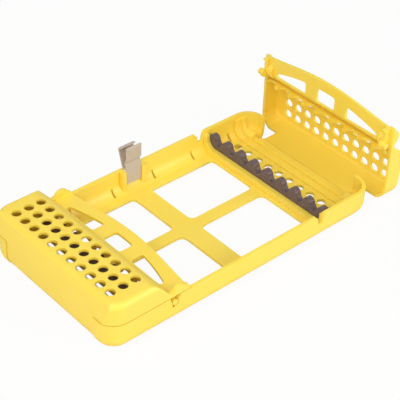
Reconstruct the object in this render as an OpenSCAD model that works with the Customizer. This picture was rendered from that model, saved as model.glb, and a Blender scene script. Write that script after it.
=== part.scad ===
// Instrument cassette: an open tray with a hinged, perforated cover at each end,
// a scalloped silicone rail under each cover and a grey spring clip on the back wall.
// X runs along the case, Y across it, and the case stands on Z = 0.

/* [Case] */
// Overall length
case_l = 203; // [190:1:230]
// Overall width
case_w = 111; // [104:1:130]
// Overall height with the covers closed
case_h = 33.7; // [32:0.1:40]
// Plan radius of the four corners
corner_r = 12; // [10:0.5:14]
// Height of the tray wall
tray_h = 19.2; // [17.5:0.1:21]
// Wall thickness of the tray
wall_t = 2.2; // [1.8:0.1:2.6]
// Thickness of the tray floor
floor_t = 2; // [1.6:0.1:2.6]
// Height of the foot rim that lifts the floor off the table
foot_h = 2; // [1:0.1:2.6]
// Outer radius along the bottom edge
edge_r = 9; // [8:0.5:9.5]
// Radius where the floor meets the wall inside
fillet_r = 7; // [4:0.5:7.5]

/* [Floor openings] */
// Width of the cross rib between the windows, along X
cross_rib_w = 13.4; // [10:0.2:18]
// Width of the long rib between the windows, along Y
long_rib_w = 8; // [6:0.2:12]
// Distance from the centre to the far side of a window, along X
window_x = 57.5; // [50:0.5:58]
// Distance from the centre to the far side of a window, along Y
window_y = 43; // [38:0.5:44]
// Corner radius of a window
window_r = 4; // [2:0.5:6]
// Diameter of a drain hole
drain_d = 5.4; // [4:0.2:6.4]
// Number of drain holes at each end
drain_n = 10; // [6:1:10]
// Spacing of the drain holes
drain_pitch = 9.45; // [8:0.05:9.6]
// Distance of the drain holes from the end of the case
drain_s = 21.2; // [20:0.1:22]
// Length of a drain slit at the foot of the long walls
slit_l = 1.4; // [1:0.1:2]
// Spacing of the drain slits
slit_pitch = 32; // [28:0.5:33]
// Width of the slots between the drain holes and a rail, along X
slot_w = 3.4; // [2.8:0.1:3.6]

/* [Cover] */
// Wall thickness of a cover
cover_t = 1.8; // [1.5:0.1:2.2]
// Gap between a cover and the tray it closes on
cover_gap = 0.6; // [0.5:0.05:0.7]
// Radius of the rounded top edge
top_r = 3.9; // [2.5:0.1:4.5]
// Lean of the end face between its foot and the top
end_lean = 2.1; // [1:0.1:2.5]
// Set-back of the cover's end face from the tray's
end_setback = 0.6; // [0.4:0.1:1]
// Where the flat top ends, from the end of the case
top_flat_s = 27.5; // [26:0.5:29]
// Radius of the bend at the top of the slope
bend_r = 10; // [8:0.5:11]
// Angle of the slope below the horizontal
slope_a = 50; // [44:1:52]
// Reach of the front bar's middle from the end of the case
bar_s = 61.3; // [60:0.1:63]
// Drop of the front bar's free edge at the sides of the case
bar_bow = 5.9; // [4.5:0.1:7]
// Drop of the front bar below the level of its side strips
bar_drop = 1.4; // [1:0.1:1.6]
// Diameter of a hole in the top
hole_d = 6; // [4:0.2:6.4]
// Spacing of the holes across the case
hole_pitch = 8.63; // [8:0.01:8.7]
// Number of holes in a row
hole_n = 11; // [7:2:11]
// Distance of the first row of holes from the end
hole_s = 10.5; // [10:0.1:11]
// Spacing of the rows
row_pitch = 8.5; // [8:0.1:8.8]
// Width of a strut between the windows of the front bar
strut_w = 9.7; // [7:0.1:12]
// Width of the middle window of the front bar
mid_window_w = 15.4; // [12:0.2:18]
// Outer end of a side window, from the middle of the case
side_window_y = 43.5; // [40:0.5:44]

/* [Hinge] */
// Half width of the flap that hangs between the tray's end walls
flap_y = 40.3; // [38:0.1:40.5]
// Gap at each end of the flap
flap_gap = 0.4; // [0.3:0.05:0.6]
// Diameter of the bead along the foot of the flap
barrel_d = 2.6; // [2.4:0.1:3]
// Diameter of a hinge pin
pin_d = 2; // [1.8:0.1:2.2]
// Length of a hinge pin
pin_l = 4.6; // [4:0.1:5]
// Running clearance of the pin in its socket, on the radius
pin_play = 0.08; // [0.05:0.01:0.1]
// Opening angle at which the right cover is shown
right_open = 90; // [0:5:90]

/* [Snap] */
// Distance of the snap stud from the end of the case
stud_s = 45.5; // [45:0.1:47]
// Height of the snap stud's middle
stud_z = 14.8; // [14.6:0.1:15.6]
// Diameter of the snap stud
stud_d = 3.8; // [3.4:0.1:4.2]
// Reach of the stud into its notch in the tray wall
stud_reach = 2; // [1.6:0.1:2.2]

/* [Rails] */
// Number of bumps on a rail
bump_n = 9; // [7:1:9]
// Spacing of the bumps
bump_pitch = 12.2; // [11.5:0.1:12.4]
// Width of a bump at its middle height
bump_w = 6.8; // [6.4:0.1:7.2]
// Thickness of a rail along X
rail_t = 4.5; // [4:0.1:5]
// Height of a rail above the floor
rail_h = 13; // [11.5:0.1:13.2]
// Height of the seats between the bumps, above the floor
seat_h = 7; // [6.4:0.1:7.4]
// Distance of a rail's middle from the end of the case
rail_s = 36.4; // [36:0.1:37]

/* [Clip] */
// Width of the clip along X
clip_w = 11.5; // [8:0.5:12]
// Thickness of the clip's leaves
clip_t = 1.2; // [1:0.1:1.4]
// Height of the clip above the table
clip_h = 35.5; // [34:0.5:38]

/* [Hidden] */

$fn = 64;
eps = 0.01;
far = 300;
yellow = "#e9bd45";
dark_grey = "#4c474f";
clip_grey = "#b9b2a9";

half_l = case_l / 2;
half_w = case_w / 2;
floor_top = foot_h + floor_t;
inner_y = half_w - wall_t;
foot_w = 2;

// Hinge axis, inside the round foot of the flap, from the end of the case and the table
hinge_s = end_setback + edge_r - (edge_r - barrel_d / 2) * cos(45);
hinge_z = hinge_s - end_setback + 0.1;
pin_end_y = flap_y + pin_l;
flap_end = hinge_s + 1.1;
flap_low = edge_r - sqrt(pow(edge_r, 2) - pow(end_setback + edge_r - flap_end, 2));

// Cover levels
cover_z = tray_h + cover_gap;
strip_top = cover_z + cover_t;
bar_top = strip_top - bar_drop;
bar_y = inner_y - 0.4;
lean_z = 13;

// The tray's end lip, which the flap's foot turns behind
lip_s = hinge_s + norm([flap_end - hinge_s, flap_low - hinge_z]) + 0.35;
lip_top = 6.6;
step_s = 15.8;
step_top = floor_top + 1.2;
second_step_s = 10.9;

// Snap ear under each side of the front bar
ear_y = inner_y - 0.6;
ear_t = 2.1;
ear_foot = stud_z + 1.2;
lobe_r = stud_d / 2 + 0.7;
boss_w = 4.2;
boss_r = 4.7;

// Points of an arc in the plane of a profile
function arc(c, r, a0, a1, n) =
    [for (i = [0:n]) let (a = a0 + (a1 - a0) * i / n) c + r * [cos(a), sin(a)]];

// Set-back of the cover's end face at a height z
function lean(z) = end_setback + end_lean * pow(max(0, z - lean_z) / (case_h - top_r - lean_z), 2);

// Rectangle with round corners, centred
module round_rect(w, h, r) {
    square([w - 2 * r, h], center = true);
    square([w, h - 2 * r], center = true);
    for (x = [-1, 1], y = [-1, 1])
        translate([x * (w / 2 - r), y * (h / 2 - r)]) circle(r);
}

// Carries a profile, drawn outwards from the corner axis, round the whole plan
module sweep_round(l, w, r) {
    for (i = [0:3]) {
        sx = (i == 0 || i == 3) ? 1 : -1;
        sy = i < 2 ? 1 : -1;
        translate([sx * (l / 2 - r), sy * (w / 2 - r), 0])
            rotate(i * 90) rotate_extrude(angle = 90) children();
    }
    for (side = [0, 180]) rotate(side) {
        translate([l / 2 - r, w / 2 - r, 0]) rotate([90, 0, 0])
            linear_extrude(w - 2 * r) children();
        translate([-(l / 2 - r), w / 2 - r, 0]) rotate([90, 0, 90])
            linear_extrude(l - 2 * r) children();
    }
}

// Extrudes a profile of (x, z) points along Y, centred
module along_y(w) {
    translate([0, w / 2, 0]) rotate([90, 0, 0]) linear_extrude(w) children();
}

// Extrudes a profile of (y, z) points along X, from x0 to x1
module along_x(x0, x1) {
    translate([x0, 0, 0]) rotate([90, 0, 90]) linear_extrude(x1 - x0) children();
}

// Both ends of the case
module both_ends() {
    children();
    rotate(180) children();
}

// Front and back of the case
module both_sides() {
    children();
    mirror([0, 1, 0]) children();
}

// Section of the tray wall, from the corner axis outwards
module tray_wall_2d() {
    inner_r = corner_r - wall_t;
    difference() {
        union() {
            square([corner_r - edge_r, tray_h]);
            translate([0, edge_r]) square([corner_r, tray_h - edge_r]);
            intersection() {
                translate([corner_r - edge_r, edge_r]) circle(edge_r);
                square([corner_r, tray_h]);
            }
        }
        translate([-1, floor_top + fillet_r]) square([inner_r + 1, tray_h]);
        translate([-1, floor_top]) square([inner_r - fillet_r + 1, tray_h]);
        translate([inner_r - fillet_r, floor_top + fillet_r]) circle(fillet_r);
        translate([-1, -1]) square([corner_r - edge_r - foot_w + 1, foot_h + 1]);
    }
}

// Solid within the tray's outer surface
module tray_outline() {
    sweep_round(case_l, case_w, corner_r) intersection() {
        union() {
            square([corner_r - edge_r, tray_h]);
            translate([0, edge_r]) square([corner_r, tray_h - edge_r]);
            translate([corner_r - edge_r, edge_r]) circle(edge_r);
        }
        square([corner_r, tray_h - 1.2]);
    }
    translate([-half_l + corner_r - 1, -half_w + corner_r - 1, 0])
        cube([case_l - 2 * corner_r + 2, case_w - 2 * corner_r + 2, tray_h - 1.2]);
}

// Windows, drain holes and slits of the floor
module floor_cuts() {
    win_l = window_x - cross_rib_w / 2;
    win_w = window_y - long_rib_w / 2;
    for (x = [-1, 1], y = [-1, 1])
        translate([x * (window_x + cross_rib_w / 2) / 2, y * (window_y + long_rib_w / 2) / 2, -1])
            linear_extrude(floor_top + 2) round_rect(win_l, win_w, window_r);
    for (x = [-1, 1], i = [0:drain_n - 1])
        translate([x * (half_l - drain_s), (i - (drain_n - 1) / 2) * drain_pitch, -1])
            cylinder(d = drain_d, h = floor_top + 2);
    for (i = [-2.5:1:2.5], y = [-1, 1])
        translate([i * slit_pitch - slit_l / 2, y * (inner_y - 2) - 2.3, foot_h - 0.4])
            cube([slit_l, 4.6, floor_t + 5.4]);
    both_ends() translate([half_l - rail_s + 6.8, 0, -1]) linear_extrude(floor_top + 2) {
        round_rect(slot_w, 45.6, 1.3);
        for (y = [-35.6, 35.6]) translate([0, y]) round_rect(slot_w, 20.8, 1.3);
    }
}

// V-shaped notch that a snap stud drops into
module stud_notch() {
    r = stud_d / 2 + 0.35;
    top = tray_h + 1 - stud_z;
    translate([half_l - stud_s, 0, stud_z]) {
        rotate([90, 0, 0]) cylinder(r = r, h = case_w + 10, center = true);
        along_y(case_w + 10)
            polygon([[-r - 2.6, top], [-r + 0.3, 1.6], [r - 1.7, -3], [r, -2.4], [r, 0], [r + 2.1, top]]);
    }
}

// Rib across the floor that rises up both walls, with a round inside corner
module frame_rib(x0, x1, top, side, r) {
    along_x(x0, x1) difference() {
        translate([-inner_y - 0.5, foot_h]) square([2 * inner_y + 1, tray_h - 3 - foot_h]);
        translate([0, top + 40]) round_rect(2 * (inner_y - side), 80, r);
    }
}

// Low ribs that hold a rail on the floor
module rail_channel() {
    rail_x = half_l - rail_s;
    slot = rail_t / 2 + 0.15;
    frame_rib(rail_x - slot - 3.4, rail_x - slot, floor_top + 4, 2.3, 6);
    translate([rail_x + slot, -inner_y + 3, foot_h]) cube([1.6, 2 * inner_y - 6, floor_t + 2.4]);
}

// Steps of the floor in front of the hinge, and the two hinge sockets
module end_lip() {
    frame_rib(half_l - step_s, half_l - second_step_s, step_top, 1.2, 8);
    frame_rib(half_l - second_step_s, half_l - lip_s, lip_top, 2, 8);
    both_sides() {
        translate([half_l - hinge_s, flap_y + flap_gap, hinge_z]) rotate([-90, 0, 0])
            cylinder(d = pin_d + 4.4, h = pin_l + 2);
        translate([half_l - hinge_s - 3.2, flap_y + flap_gap, hinge_z + 1.1]) rotate([-90, 0, 0])
            cylinder(r = 4.4, h = 6);
        translate([half_l - hinge_s - 3.2, flap_y + flap_gap + 6, hinge_z + 1.1]) sphere(4.4);
    }
}

// Everything at one end of the tray that is cut away for a cover
module end_cuts() {
    gap_y = flap_y + flap_gap;
    translate([half_l - lip_s, -gap_y, -1]) cube([far, 2 * gap_y, far]);
    translate([half_l - hinge_s, 0, hinge_z]) rotate([90, 0, 0])
        cylinder(d = pin_d + 2 * pin_play, h = 2 * (pin_end_y + 0.3), center = true);
    translate([half_l - rail_s - rail_t / 2 - 0.15, -inner_y + 0.4, floor_top])
        cube([rail_t + 0.3, 2 * inner_y - 0.8, far]);
    stud_notch();
}

// Seat of the clip in the back wall
clip_slot_w = clip_w + 0.6;
module clip_recess() {
    translate([-clip_slot_w / 2, inner_y - 1.2, floor_top + 4.2]) cube([clip_slot_w, far, far]);
}

// Thickened part of the back wall that the clip hooks on
module clip_post() {
    for (x = [-1, 1])
        translate([x * (clip_slot_w / 2 + 1.6), inner_y - 1.6, floor_top + 2])
            linear_extrude(tray_h - floor_top - 2.6) round_rect(3.2, 4, 1);
}

module tray() color(yellow) difference() {
    union() {
        sweep_round(case_l, case_w, corner_r) tray_wall_2d();
        translate([-half_l + corner_r, -half_w + corner_r, foot_h])
            cube([case_l - 2 * corner_r, case_w - 2 * corner_r, floor_t]);
        intersection() {
            both_ends() {
                rail_channel();
                end_lip();
            }
            tray_outline();
        }
        clip_post();
    }
    floor_cuts();
    both_ends() end_cuts();
    clip_recess();
}

// Side profile of a cover: o sets it inwards by that much
function slope_top(o) = [top_flat_s + (bend_r - o) * sin(slope_a),
    case_h - bend_r + (bend_r - o) * cos(slope_a)];
function slope_foot(o) = slope_top(o)[0] + (slope_top(o)[1] - (bar_top - o)) / tan(slope_a);
foot_r = 3;
module cover_profile(o, base) {
    foot = slope_foot(o);
    r = foot_r + o;
    t = r * tan(slope_a / 2);
    top_z = case_h - top_r;
    polygon(concat(
        [[lean(base) + o, base]],
        [for (z = [lean_z:2:top_z]) if (z > base) [lean(z) + o, z]],
        arc([lean(top_z) + top_r, top_z], top_r - o, 180, 90, 6),
        arc([top_flat_s, case_h - bend_r], bend_r - o, 90, 90 - slope_a, 8),
        arc([foot + t, bar_top - o + r], r, 270 - slope_a, 270, 5),
        [[far, bar_top - o], [far, base]]));
}

// Solid inside the cover's skin, set inwards by o
module cover_form(o, base) {
    r = corner_r - o;
    edge = top_r - o;
    intersection() {
        translate([half_l, 0, 0]) mirror([1, 0, 0]) along_y(case_w) cover_profile(o, base);
        sweep_round(case_l - 2 * o, case_w - 2 * o, r) {
            square([r, case_h - top_r]);
            square([r - edge, case_h - o]);
            translate([r - edge, case_h - top_r]) circle(edge);
        }
    }
    intersection() {
        translate([half_l, 0, 0]) mirror([1, 0, 0]) along_y(case_w) cover_profile(o, base);
        translate([0, -half_w + corner_r - 1, base])
            cube([half_l - corner_r + 1, case_w - 2 * corner_r + 2, case_h - o - base]);
    }
}

// Reach of the front bar's free edge, which is flat in the middle and at the sides
function bar_edge(y) = bar_s - bar_bow * (0.5 * pow(y / half_w, 2) + 0.25 * (1 - cos(180 * y / half_w)));

// Plan of one end of the case, up to that edge
module bar_plan() {
    polygon(concat([[half_l + 1, -half_w - 1], [half_l - bar_edge(half_w), -half_w - 1]],
        [for (i = [-24:24]) [half_l - bar_edge(i * half_w / 24), i * half_w / 24]],
        [[half_l - bar_edge(half_w), half_w + 1], [half_l + 1, half_w + 1]]));
}

// Plan of one end of the case, up to a bowed edge
module bowed_plan(reach, bow, half) {
    r = (half * half + bow * bow) / (2 * bow);
    intersection() {
        translate([half_l - reach + r, 0]) circle(r, $fn = 360);
        translate([0, -half_w]) square([half_l, case_w]);
    }
}

// Windows of the front bar
module bar_windows() {
    near = slope_foot(0) + 0.6;
    mid = mid_window_w / 2;
    side0 = mid + strut_w;
    intersection() {
        translate([0, 0, bar_top - cover_t - 1]) linear_extrude(cover_t + 2)
            bowed_plan(bar_s - 7, 7.6, 45);
        translate([0, 0, bar_top - cover_t - 1]) linear_extrude(cover_t + 2) {
            translate([half_l - near - 6, 0]) round_rect(12, 2 * mid, 2);
            for (y = [-1, 1])
                translate([half_l - near - 6, y * (side0 + side_window_y) / 2])
                    round_rect(12, side_window_y - side0, 2);
        }
    }
}

// Height of the slope's outer face at a distance from the end of the case
function slope_z(s) = slope_top(0)[1] - (s - slope_top(0)[0]) * tan(slope_a);

// Rib under the slope, arched over every bump of the rail
rib_s = rail_s + 0.4;
rib_t = 1.8;
finger_foot = floor_top + rail_h + 0.5;
module finger_rib() {
    x = half_l - rib_s - rib_t / 2;
    top = slope_z(rib_s + rib_t / 2) - 0.3;
    arch_r = bump_pitch / 2 - 1.2;
    difference() {
        union() {
            translate([x, -inner_y + 0.5, finger_foot])
                cube([rib_t, 2 * inner_y - 1, top - finger_foot]);
            translate([x, -half_w + 1, cover_z + 0.2])
                cube([rib_t, case_w - 2, top - cover_z - 0.2]);
        }
        for (i = [0:bump_n - 1])
            translate([x - 1, (i - (bump_n - 1) / 2) * bump_pitch, finger_foot - 0.6])
                rotate([0, 90, 0]) cylinder(r = arch_r, h = rib_t + 2);
    }
}

// Ear with the snap stud and a round boss, under one side of the front bar
module snap_ear() {
    x = half_l - stud_s;
    translate([0, ear_y, 0]) along_y_from(ear_t)
        polygon([[x + 4, bar_top - 0.3], [x + 4, ear_foot + 1], [x + 3, ear_foot], [x - 8, ear_foot],
            [x - 10.5, ear_foot - 2.2], [x - 12.5, ear_foot - 0.4], [x - 12.5, bar_top - 0.3]]);
    translate([x, ear_y, stud_z]) rotate([90, 0, 0]) cylinder(r = lobe_r, h = ear_t);
    intersection() {
        translate([x - 0.8, ear_y, bar_top + 0.4]) rotate([90, 0, 0])
            cylinder(r = boss_r, h = ear_t + boss_w);
        translate([x - 10, 0, bar_top - 0.3 - 10]) cube([20, half_w, 10]);
    }
    translate([x, ear_y - 0.5, stud_z]) rotate([-90, 0, 0])
        cylinder(d = stud_d, h = stud_reach + 1.1);
}

// Extrudes a profile of (x, z) points from the plane y = 0 towards -Y
module along_y_from(w) {
    rotate([90, 0, 0]) linear_extrude(w) children();
}

// Strip along each side of the front bar, raised into a round thumb grip
grip_r = 5.4;
module side_strip() {
    w = half_w - bar_y;
    translate([half_l - stud_s - 3.7, half_w, cover_z]) rotate([90, 0, 0]) difference() {
        cylinder(r = grip_r, h = w);
        translate([-10, -20, -1]) cube([20, 20, 10]);
    }
    translate([half_l - stud_s - 1, bar_y, cover_z]) cube([9, w, cover_t + 0.5]);
    translate([half_l - stud_s - 14, bar_y - 1.4, cover_z - 1]) cube([16, 1.4, cover_t + 1]);
    translate([half_l - stud_s - 14, bar_y - 0.1, cover_z]) cube([16, w + 0.1, cover_t]);
}

// Round foot of the flap, with its bead and two pins
module flap_foot() {
    translate([half_l - end_setback - edge_r, 0, edge_r]) intersection() {
        difference() {
            rotate([90, 0, 0]) cylinder(r = edge_r, h = 2 * flap_y, center = true);
            rotate([90, 0, 0]) cylinder(r = edge_r - cover_t, h = 2 * flap_y + 2, center = true);
        }
        translate([end_setback + edge_r - flap_end, -far, -far]) cube([far, 2 * far, far]);
    }
    translate([half_l - hinge_s, 0, hinge_z]) rotate([90, 0, 0]) {
        cylinder(d = barrel_d, h = 2 * flap_y, center = true);
        cylinder(d = pin_d, h = 2 * pin_end_y, center = true);
    }
}

// The cover of the +X end, closed
module cover() {
    difference() {
        union() {
            difference() {
                cover_form(0, edge_r);
                cover_form(cover_t, -5);
                both_sides() {
                    translate([half_l - 20, flap_y, -1]) cube([far, far, cover_z + 1]);
                    translate([-far, bar_y, -1]) cube([2 * far, far, cover_z + 1]);
                }
            }
            finger_rib();
            both_sides() {
                snap_ear();
                side_strip();
            }
        }
        translate([0, 0, -1]) linear_extrude(far) difference() {
            translate([-far, -far]) square([far + half_l, 2 * far]);
            bar_plan();
        }
        bar_windows();
        for (row = [0:2], i = [0:hole_n - 1])
            translate([half_l - hole_s - row * row_pitch, (i - (hole_n - 1) / 2) * hole_pitch, case_h - 8])
                cylinder(d = hole_d, h = 12);
    }
    flap_foot();
}

// Turns the closed cover open about its hinge
module opened(a) {
    translate([half_l - hinge_s, 0, hinge_z]) rotate([0, a, 0])
        translate([hinge_s - half_l, 0, -hinge_z]) children();
}

module cover_left() color(yellow) rotate(180) cover();
module cover_right() color(yellow) opened(right_open) cover();

// Scalloped rail that the instruments lie in
module rail() {
    x = half_l - rail_s - rail_t / 2;
    end_y = inner_y - 0.6;
    top = floor_top + rail_h;
    seat = floor_top + seat_h;
    r = bump_w / 2;
    intersection() {
        union() {
            translate([x, -end_y, floor_top]) cube([rail_t, 2 * end_y, seat_h]);
            for (i = [0:bump_n - 1]) translate([0, (i - (bump_n - 1) / 2) * bump_pitch, 0]) {
                translate([x, 0, top - r]) rotate([0, 90, 0]) cylinder(r = r, h = rail_t);
                along_x(x, x + rail_t)
                    polygon([[-r, top - r], [r, top - r], [r + 1.9, seat], [r + 1.9, seat - 1],
                        [-r - 1.9, seat - 1], [-r - 1.9, seat]]);
            }
        }
        translate([x - 1, -end_y, 0]) cube([rail_t + 2, 2 * end_y, far]);
    }
}

module rail_left() color(dark_grey) rotate(180) rail();
module rail_right() color(dark_grey) rail();

// Bent strip: a leg inside the wall, a hook over it, a straight inner leaf and an
// outer leaf that leans out and is folded in at its top
module clip() color(clip_grey) {
    t = clip_t;
    y0 = inner_y - 1.1;
    up = clip_h - tray_h;
    translate([-clip_w / 2, 0, 0]) rotate([90, 0, 90]) linear_extrude(clip_w) {
        polygon([[y0 - t, floor_top + 4.4], [y0, floor_top + 4.4], [y0, tray_h + 0.1 * up],
            [y0 + t, tray_h + 0.28 * up], [y0 - t / 2, tray_h + 0.5 * up], [y0 - t / 2, tray_h + up],
            [y0 - t * 1.5, tray_h + up], [y0 - t * 1.5, tray_h + 0.48 * up], [y0 - t * 0.2, tray_h + 0.28 * up],
            [y0 - t, tray_h + 0.12 * up]]);
        polygon([[y0 - t / 2, tray_h - t / 2], [y0 + 2.5 * t, tray_h - t / 2],
            [y0 + 0.43 * up, tray_h + 0.72 * up], [y0 + 0.4 * up, tray_h + 0.82 * up],
            [y0 + 0.25 * up, tray_h + 0.87 * up], [y0 + 0.23 * up, tray_h + 0.83 * up],
            [y0 + 0.35 * up, tray_h + 0.76 * up], [y0 + 0.36 * up, tray_h + 0.7 * up],
            [y0 + 2 * t, tray_h + t / 2], [y0 - t / 2, tray_h + t / 2]]);
    }
}

tray();
cover_left();
cover_right();
rail_left();
rail_right();
clip();
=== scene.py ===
import math

import bmesh
import bpy
from mathutils import Matrix, Vector


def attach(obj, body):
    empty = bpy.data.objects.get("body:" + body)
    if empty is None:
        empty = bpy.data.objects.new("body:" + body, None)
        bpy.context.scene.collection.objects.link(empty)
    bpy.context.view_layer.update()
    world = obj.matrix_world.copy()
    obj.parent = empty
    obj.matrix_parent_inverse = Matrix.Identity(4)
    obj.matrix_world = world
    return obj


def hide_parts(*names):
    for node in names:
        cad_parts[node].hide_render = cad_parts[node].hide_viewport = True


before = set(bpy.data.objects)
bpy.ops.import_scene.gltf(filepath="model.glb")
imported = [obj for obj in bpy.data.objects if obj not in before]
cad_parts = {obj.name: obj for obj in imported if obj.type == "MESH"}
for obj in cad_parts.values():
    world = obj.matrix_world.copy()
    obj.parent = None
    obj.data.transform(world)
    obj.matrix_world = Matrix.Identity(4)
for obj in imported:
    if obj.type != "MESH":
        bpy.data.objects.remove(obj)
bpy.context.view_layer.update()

# Camera
# A long lens looks down on the case from its front left corner, as in the
# photograph. It was placed by the case's own corners, windows and holes.

look = Vector((0.5317, 0.5859, -0.6116)).normalized()
up = Vector((0.3860, 0.4751, 0.7907))
right = look.cross(up).normalized()
up = right.cross(look).normalized()
turn = Matrix((right, up, -look)).transposed().to_4x4()
camera = bpy.data.objects.new("camera", bpy.data.cameras.new("camera"))
camera.data.lens = 114.09
camera.data.sensor_width = 36
camera.data.clip_start = 0.05
camera.data.clip_end = 20
camera.matrix_world = Matrix.Translation((-0.3911, -0.4415, 0.4808)) @ turn
bpy.context.scene.collection.objects.link(camera)
bpy.context.scene.camera = camera
bpy.context.scene.view_settings.view_transform = "Standard"


# Table and studio light
# A white table under a white sky. The lamps are large and soft: one to the front
# right, one high on the left, and a weak warm one near the camera that reaches into
# the open cover.

def linear(code):
    """Turns an sRGB hex colour into the linear values that a shader takes."""
    parts = [int(code[i:i + 2], 16) / 255 for i in (1, 3, 5)]
    return [p / 12.92 if p <= 0.04045 else ((p + 0.055) / 1.055) ** 2.4 for p in parts] + [1.0]


def add(tree, kind, links=None, **settings):
    """Adds one node to a tree, with its settings and what feeds its sockets."""
    node = tree.nodes.new(kind)
    for name, value in settings.items():
        if hasattr(node, name):
            setattr(node, name, value)
        else:
            node.inputs[name.replace("_", " ")].default_value = value
    for socket, source in (links or {}).items():
        tree.links.new(source, node.inputs[socket])
    return node


def lamp(name, place, aim, size, power, colour="#ffffff"):
    """A square soft box that faces a point."""
    light = bpy.data.lights.new(name, "AREA")
    light.shape = "SQUARE"
    light.size = size
    light.energy = power
    light.color = linear(colour)[:3]
    obj = bpy.data.objects.new(name, light)
    obj.location = place
    obj.rotation_euler = (Vector(aim) - Vector(place)).to_track_quat("-Z", "Y").to_euler()
    bpy.context.scene.collection.objects.link(obj)


def blank(name):
    """Starts a material whose node tree is empty."""
    material = bpy.data.materials.new(name)
    material.use_nodes = True
    material.node_tree.nodes.clear()
    return material, material.node_tree


world = bpy.data.worlds.new("studio")
world.use_nodes = True
sky = world.node_tree
sky.nodes.clear()
path = add(sky, "ShaderNodeLightPath")
shown = add(sky, "ShaderNodeMath",
            {0: path.outputs["Is Camera Ray"], 1: path.outputs["Is Transmission Ray"]},
            operation="MAXIMUM")
room = add(sky, "ShaderNodeBackground", Color=linear("#fffdf8"), Strength=0.5)
white = add(sky, "ShaderNodeBackground", Color=(1, 1, 1, 1), Strength=1.0)
mixed = add(sky, "ShaderNodeMixShader",
            {0: shown.outputs[0], 1: room.outputs[0], 2: white.outputs[0]})
add(sky, "ShaderNodeOutputWorld", {0: mixed.outputs[0]})
bpy.context.scene.world = world

lamp("key", (0.45, -1.0, 0.5), (0, 0, 0), size=0.7, power=6.0)
lamp("over", (-0.6, -0.15, 0.95), (0, 0, 0), size=0.8, power=5.6)
lamp("fill", (-0.75, -0.6, 0.5), (0.08, 0, 0.02), size=0.6, power=2.6, colour="#fff0d0")

table = bmesh.new()
bmesh.ops.create_grid(table, x_segments=1, y_segments=1, size=3)
table_mesh = bpy.data.meshes.new("table")
table.to_mesh(table_mesh)
table.free()
table_top = bpy.data.objects.new("table", table_mesh)
bpy.context.scene.collection.objects.link(table_top)

# White laminate: matt, so that only a faint shadow and a tint of the case lie on it.
# The camera sees it mostly as plain white, and the case gets its real grey-white bounce.
laminate, tree = blank("white laminate")
path = add(tree, "ShaderNodeLightPath")
matt = add(tree, "ShaderNodeBsdfDiffuse", Color=linear("#e4e2de"))
glow = add(tree, "ShaderNodeEmission", Color=(1, 1, 1, 1), Strength=1.0)
seen = add(tree, "ShaderNodeMath", {0: path.outputs["Is Camera Ray"]}, operation="MULTIPLY")
seen.inputs[1].default_value = 0.93
paper = add(tree, "ShaderNodeMixShader",
            {0: seen.outputs[0], 1: matt.outputs[0], 2: glow.outputs[0]})
add(tree, "ShaderNodeOutputMaterial", {0: paper.outputs[0]})
table_mesh.materials.append(laminate)


# Tray
# The base of the case: one injection moulding in golden polypropylene, with four
# windows and two rows of drain holes in its floor. The moulding has small radii on
# every edge and a fine spark-eroded texture.

weld = 2e-6
flat_angle = math.radians(0.6)
hard_angle = math.radians(28)


def moulded(node, body, material, radius, segments=2, ease=None):
    """Copies a node's mesh, joins its triangles into faces and rounds every hard edge.

    ease, where given, first reshapes the joined mesh.
    """
    shape = bmesh.new()
    shape.from_mesh(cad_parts[node].data)
    bmesh.ops.remove_doubles(shape, verts=shape.verts, dist=weld)
    bmesh.ops.dissolve_limit(shape, angle_limit=flat_angle, use_dissolve_boundaries=False,
                             verts=shape.verts, edges=shape.edges, delimit={"NORMAL"})
    if ease:
        ease(shape)
    for face in shape.faces:
        face.smooth = True
    mesh = bpy.data.meshes.new(node + "_moulding")
    shape.to_mesh(mesh)
    shape.free()
    mesh.materials.clear()
    mesh.materials.append(material)
    piece = bpy.data.objects.new(node + "_moulding", mesh)
    bpy.context.scene.collection.objects.link(piece)
    edge = piece.modifiers.new("edge radius", "BEVEL")
    edge.width = radius
    edge.segments = segments
    edge.limit_method = "ANGLE"
    edge.angle_limit = hard_angle
    smooth = piece.modifiers.new("flat faces", "WEIGHTED_NORMAL")
    smooth.keep_sharp = True
    smooth.weight = 60
    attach(piece, body)
    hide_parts(node)


def speckle(tree, scale, detail):
    """Noise in the piece's own place; scale is in cells per metre."""
    place = add(tree, "ShaderNodeTexCoord")
    return add(tree, "ShaderNodeTexNoise", {"Vector": place.outputs["Object"]},
               Scale=scale, Detail=detail).outputs["Fac"]


def tones(tree, factor, low, low_at, high, high_at):
    """Runs from one hex colour to another along a factor."""
    ramp = add(tree, "ShaderNodeValToRGB", {"Fac": factor})
    first, last = ramp.color_ramp.elements
    first.position, first.color = low_at, linear(low)
    last.position, last.color = high_at, linear(high)
    return ramp.outputs["Color"]


def grainy(tree, height, strength):
    """Bumps 0.1 mm high at full strength."""
    return add(tree, "ShaderNodeBump", {"Height": height}, Strength=strength,
               Distance=0.0001).outputs["Normal"]


# Polypropylene, injection moulded: a warm yellow that light enters a little way, so its
# shaded sides stay golden. Its spark-eroded grain is about 0.05 mm wide in the real one
# and is drawn at 0.4 mm so that it shows as a soft breaking-up of the sheen.
poly, tree = blank("moulded polypropylene")
grain = speckle(tree, 2500.0, 2.0)
tint = tones(tree, speckle(tree, 22.0, 3.0), "#f8d84d", 0.3, "#fadc57", 0.7)
rough = add(tree, "ShaderNodeMapRange", {"Value": grain}, To_Min=0.40, To_Max=0.52)
skin = add(tree, "ShaderNodeBsdfPrincipled",
           {"Base Color": tint, "Roughness": rough.outputs["Result"],
            "Normal": grainy(tree, grain, 0.12)},
           IOR=1.49, Subsurface_Weight=0.3, Subsurface_Scale=0.004, Specular_IOR_Level=0.75)
skin.inputs["Subsurface Radius"].default_value = (1.0, 0.85, 0.35)
add(tree, "ShaderNodeOutputMaterial", {0: skin.outputs[0]})

plastic_radius = 0.00035
moulded("tray", "case", poly, plastic_radius)


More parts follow.
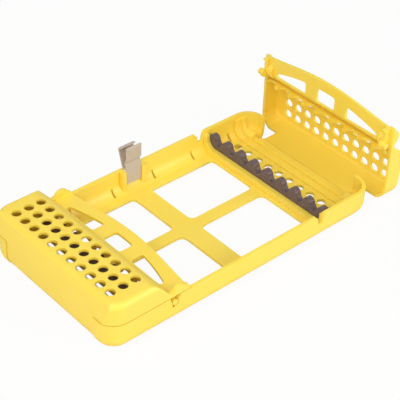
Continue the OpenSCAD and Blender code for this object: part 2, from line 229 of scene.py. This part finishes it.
# Covers
# Two like mouldings of the same polypropylene, hinged low at the ends of the tray on
# pins of their own. The left one is shut and the right one lies open on its foot. The
# windows of their front bars have rounded corners.

window_radius = 0.0018
bar_near, bar_far = 0.042, 0.0582
bar_low, bar_high = 0.015, 0.024
windows_end = 0.0438
corner_angle = math.radians(25)


def window_corners(place):
    """Gives an ease that rounds the windows of a front bar.

    The bar is known by where it is on a closed right cover, and place is how the cover
    got from there to where it is now.
    """
    back = place.inverted()

    def ease(shape):
        corners = []
        for edge in shape.edges:
            a, b = (back @ vert.co for vert in edge.verts)
            x, y, z = (a + b) / 2
            upright = abs(a.x - b.x) + abs(a.y - b.y) < 1e-5
            in_bar = bar_near < x < bar_far and bar_low < z < bar_high and abs(y) < windows_end
            if upright and in_bar and edge.calc_face_angle(0) > corner_angle:
                corners.append(edge)
        bmesh.ops.bevel(shape, geom=corners, offset=window_radius, segments=4, profile=0.5,
                        affect="EDGES")
    return ease


right_hinge = Vector((0.097345, 0, 0.003655))
end_for_end = Matrix.Rotation(math.pi, 4, "Z")
opened = (Matrix.Translation(right_hinge) @ Matrix.Rotation(math.pi / 2, 4, "Y")
          @ Matrix.Translation(-right_hinge))
for node, body, place in (("cover_left", "left_cover", end_for_end),
                          ("cover_right", "right_cover", opened)):
    moulded(node, body, poly, plastic_radius, ease=window_corners(place))


# Rails
# Scalloped strips of dark grey silicone, pressed by hand into a channel of the tray's
# floor. Their soft bumps keep the instruments apart.

# Silicone rubber, moulded: satin and slightly dusty, so its edges catch a broad grey sheen.
silicone, tree = blank("silicone rubber")
dust = speckle(tree, 900.0, 4.0)
rubber = add(tree, "ShaderNodeBsdfPrincipled",
             {"Base Color": tones(tree, dust, "#53444a", 0.35, "#725f5f", 0.7),
              "Normal": grainy(tree, dust, 0.2)},
             Roughness=0.42, IOR=1.45, Sheen_Weight=0.3, Sheen_Roughness=0.4)
add(tree, "ShaderNodeOutputMaterial", {0: rubber.outputs[0]})

rubber_radius = 0.0006
for node in ("rail_left", "rail_right"):
    moulded(node, "case", silicone, rubber_radius, segments=3)


# Clip
# A spring clip of light warm grey nylon, moulded in one piece. It is pushed down over
# the back wall, where its leg stands in a slot, and its two leaves hold a card.

# Nylon, moulded: satin, a little translucent.
nylon, tree = blank("moulded nylon")
grain = speckle(tree, 1500.0, 2.0)
card_clip = add(tree, "ShaderNodeBsdfPrincipled",
                {"Base Color": tones(tree, grain, "#bdb2a8", 0.3, "#c6bcb3", 0.7),
                 "Normal": grainy(tree, grain, 0.1)},
                Roughness=0.42, IOR=1.53, Subsurface_Weight=0.15, Subsurface_Scale=0.002)
add(tree, "ShaderNodeOutputMaterial", {0: card_clip.outputs[0]})

clip_radius = 0.0003
moulded("clip", "case", nylon, clip_radius, segments=3)
